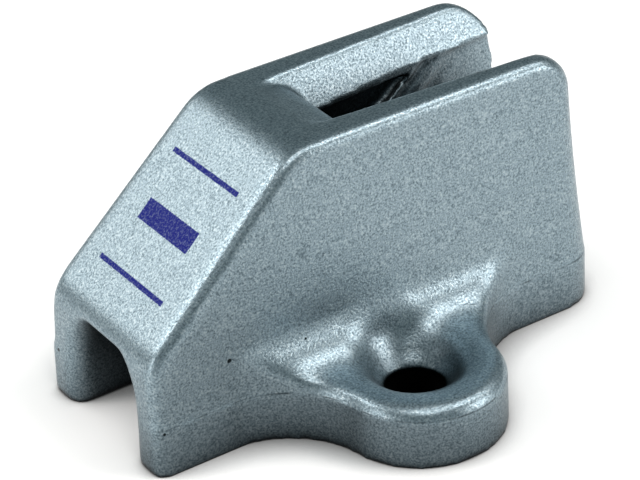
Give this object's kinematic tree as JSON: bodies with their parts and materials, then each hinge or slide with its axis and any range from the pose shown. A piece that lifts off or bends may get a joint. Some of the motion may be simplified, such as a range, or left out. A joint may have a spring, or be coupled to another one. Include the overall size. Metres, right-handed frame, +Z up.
{
  "type": "jam cleat",
  "caption": "Cast jam cleat for deck rope: ramped nose over a rope tunnel, a toothed jaw that tapers in a tall drafted body and is open at the top and back, and a countersunk screw ear on each side.",
  "frame": {"origin": "on the deck plane, midway between the two screw holes", "axes": "+Z up from the deck, +X toward the tall open end where the rope leaves, -X toward the low mouth where the loaded rope comes in, Y across through both screw ears"},
  "size_m": [0.0461, 0.043, 0.0246],
  "materials": {
    "cast_aluminium": "satin, blasted casting with a fine sparkling grain"
  },
  "bodies": {
    "root": {"cleat_body": "cast_aluminium"}
  },
  "joints": []
}
